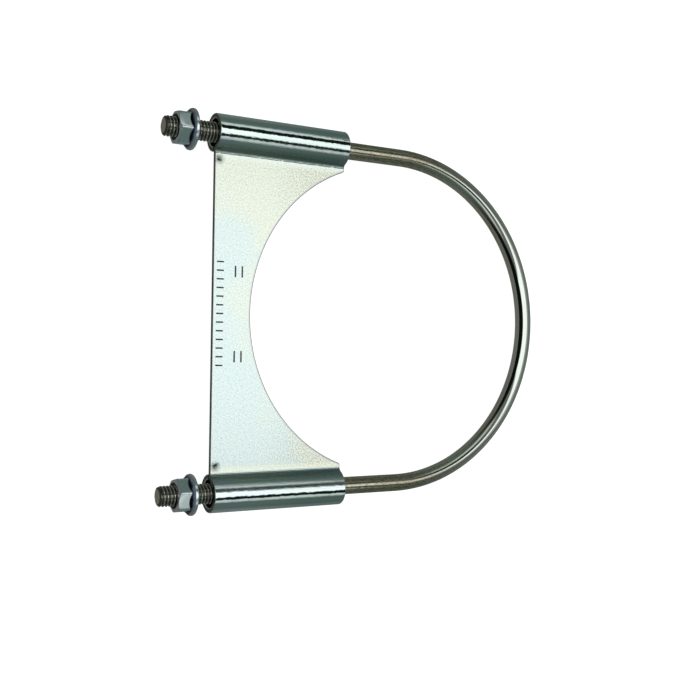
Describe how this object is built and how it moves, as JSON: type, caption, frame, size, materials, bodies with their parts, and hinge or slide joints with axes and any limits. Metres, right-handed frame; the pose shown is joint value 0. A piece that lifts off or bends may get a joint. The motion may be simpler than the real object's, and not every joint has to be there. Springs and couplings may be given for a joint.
{
  "type": "u-bolt",
  "caption": "U-bolt pipe clamp: a bent threaded rod whose legs slide through the rolled sleeves of an arched sheet saddle, with a hex flange nut on each leg.",
  "frame": {"origin": "centre of the saddle's arc, on the pipe's axis, level with the legs' centre lines and the web's lower face", "axes": "+Z along the pipe's axis, up from the surface that the clamp lies on; +X along the legs, from the threaded ends to the bend; +Y across the legs"},
  "size_m": [0.2121, 0.1841, 0.019],
  "materials": {
    "plated_saddle": "bright zinc plate, clear passivated, with a fine sheet grain",
    "bare_rod": "drawn steel with a thin brown oil film, darker in the threads",
    "plated_nut": "blue-grey zinc plate, satin"
  },
  "bodies": {
    "saddle": {"saddle": "plated_saddle"},
    "u_bolt": {"u_bolt": "bare_rod"},
    "left_nut": {"flange_nut_left": "plated_nut"},
    "right_nut": {"flange_nut_right": "plated_nut"}
  },
  "joints": [
    {"name": "u_bolt_slide", "type": "slide", "parent": "saddle", "child": "u_bolt", "axis": [1, 0, 0], "range_m": [-0.033, 0]},
    {"name": "left_nut_travel", "type": "slide", "parent": "u_bolt", "child": "left_nut", "axis": [1, 0, 0], "range_m": [-0.0053, 0.0098]},
    {"name": "right_nut_travel", "type": "slide", "parent": "u_bolt", "child": "right_nut", "axis": [1, 0, 0], "range_m": [-0.0076, 0.0075]}
  ]
}
